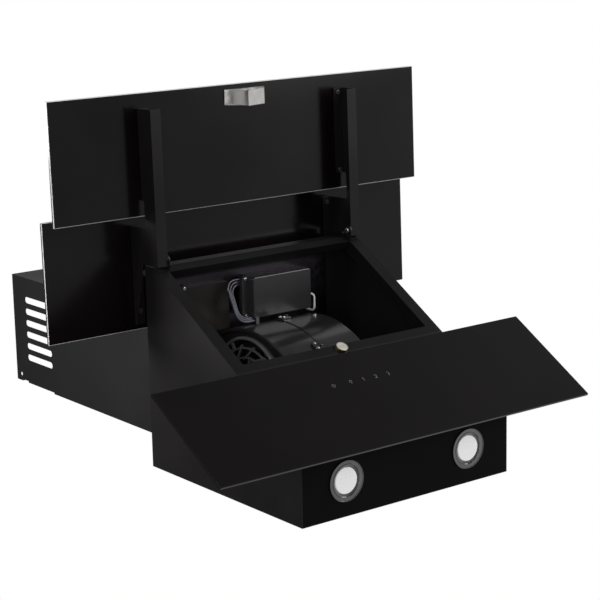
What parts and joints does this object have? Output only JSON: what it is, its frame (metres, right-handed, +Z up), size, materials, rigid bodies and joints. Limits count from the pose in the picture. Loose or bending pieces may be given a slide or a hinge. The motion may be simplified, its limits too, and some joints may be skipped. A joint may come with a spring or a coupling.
{
  "type": "chimney range hood",
  "caption": "Wall chimney hood with a leaning front, a swung-open glass lid, a blower behind it and a telescopic chimney.",
  "frame": {"origin": "centre of the four wall screw holes, on the wall face of the back plate", "axes": "+Z up as the hood hangs, +Y into the wall, +X to the right for someone who faces the hood"},
  "size_m": [0.6, 0.4984, 0.8686],
  "materials": {
    "body_sheet": "fine matt black powder coat",
    "chimney_sheet": "satin black powder coat",
    "black_glass": "opaque black gloss, ground edges",
    "bonding": "matt",
    "circuit_board": "satin",
    "tray_plastic": "matt",
    "symbols": "satin print",
    "magnet_cup": "worn plating",
    "magnet_face": "bright",
    "lamp_ring": "satin grey",
    "lamp_lens": "frosted white",
    "lamp_board": "satin",
    "lamp_can": "cast",
    "spring_steel": "bright",
    "hardware": "zinc plated",
    "bush": "smooth",
    "stop_rubber": "matt",
    "grip": "brushed stainless",
    "galvanised": "dark galvanised",
    "scroll_plastic": "gloss",
    "wheel_plastic": "satin",
    "motor_steel": "zinc plated",
    "shaft_steel": "ground",
    "guard_wire": "smooth",
    "box_plastic": "satin",
    "terminal_cover": "smooth",
    "wires": "smooth",
    "white_cord": "smooth",
    "duct_plastic": "matt"
  },
  "bodies": {
    "hood_body": {"back_plate": "body_sheet", "side_panel_left": "body_sheet", "side_panel_right": "body_sheet", "lamp_panel": "body_sheet", "top_plate": "body_sheet", "front_plate": "body_sheet", "frame_rail_left": "body_sheet", "frame_rail_right": "body_sheet", "frame_rail_lower": "body_sheet", "frame_rail_upper": "body_sheet", "control_glass": "black_glass", "glass_tape": "bonding", "touch_board": "circuit_board", "touch_tray": "tray_plastic", "control_icons": "symbols", "magnet_cup": "magnet_cup", "magnet_disc": "magnet_face", "lamp_bezels": "lamp_ring", "lamp_lenses": "lamp_lens", "lamp_leds": "lamp_board", "lamp_housings": "lamp_can", "lamp_clips": "spring_steel", "hinge_brackets": "body_sheet", "hinge_bolts": "hardware", "hinge_washers": "hardware", "lid_stops": "stop_rubber", "mounting_plate": "galvanised", "scroll_half_left": "scroll_plastic", "scroll_half_right": "scroll_plastic", "inner_screws": "hardware", "inlet_guard_left": "guard_wire", "inlet_guard_right": "guard_wire", "seam_clips": "scroll_plastic", "motor": "motor_steel", "motor_bracket": "wheel_plastic", "junction_box_base": "box_plastic", "junction_box_lid": "box_plastic", "terminal_cover": "terminal_cover", "wiring_loom": "wires", "motor_cable": "white_cord", "cable_gland": "tray_plastic", "duct_collar": "duct_plastic", "flap_spindle": "shaft_steel", "chimney_lower": "chimney_sheet", "chimney_brackets": "body_sheet", "top_screws": "hardware"},
    "lid": {"lid_arm_left": "body_sheet", "lid_arm_right": "body_sheet", "hinge_bushes": "bush", "middle_glass": "black_glass", "upper_glass": "black_glass", "glass_strips": "bonding", "arm_screws": "hardware", "grip_plate": "grip"},
    "impeller": {"impeller": "wheel_plastic", "motor_shaft": "shaft_steel"},
    "flap_front": {"flap_front": "duct_plastic"},
    "flap_rear": {"flap_rear": "duct_plastic"},
    "chimney_upper": {"chimney_upper": "chimney_sheet"}
  },
  "joints": [
    {"name": "lid_hinge", "type": "hinge", "parent": "hood_body", "child": "lid", "pos_m": [0, -0.2822, 0.1216], "axis": [1, 0, 0], "range_deg": [0, 122]},
    {"name": "impeller_spin", "type": "hinge", "parent": "hood_body", "child": "impeller", "pos_m": [0, -0.095, 0.06701], "axis": [1, 0, 0], "continuous": true},
    {"name": "flap_front_swing", "type": "hinge", "parent": "hood_body", "child": "flap_front", "pos_m": [0, -0.088, 0.15521], "axis": [-1, 0, 0], "range_deg": [0, 78]},
    {"name": "flap_rear_swing", "type": "hinge", "parent": "hood_body", "child": "flap_rear", "pos_m": [0, -0.088, 0.15521], "axis": [1, 0, 0], "range_deg": [0, 78]},
    {"name": "chimney_slide", "type": "slide", "parent": "hood_body", "child": "chimney_upper", "axis": [0, 0, 1], "range_m": [-0.095, 0.24]}
  ]
}
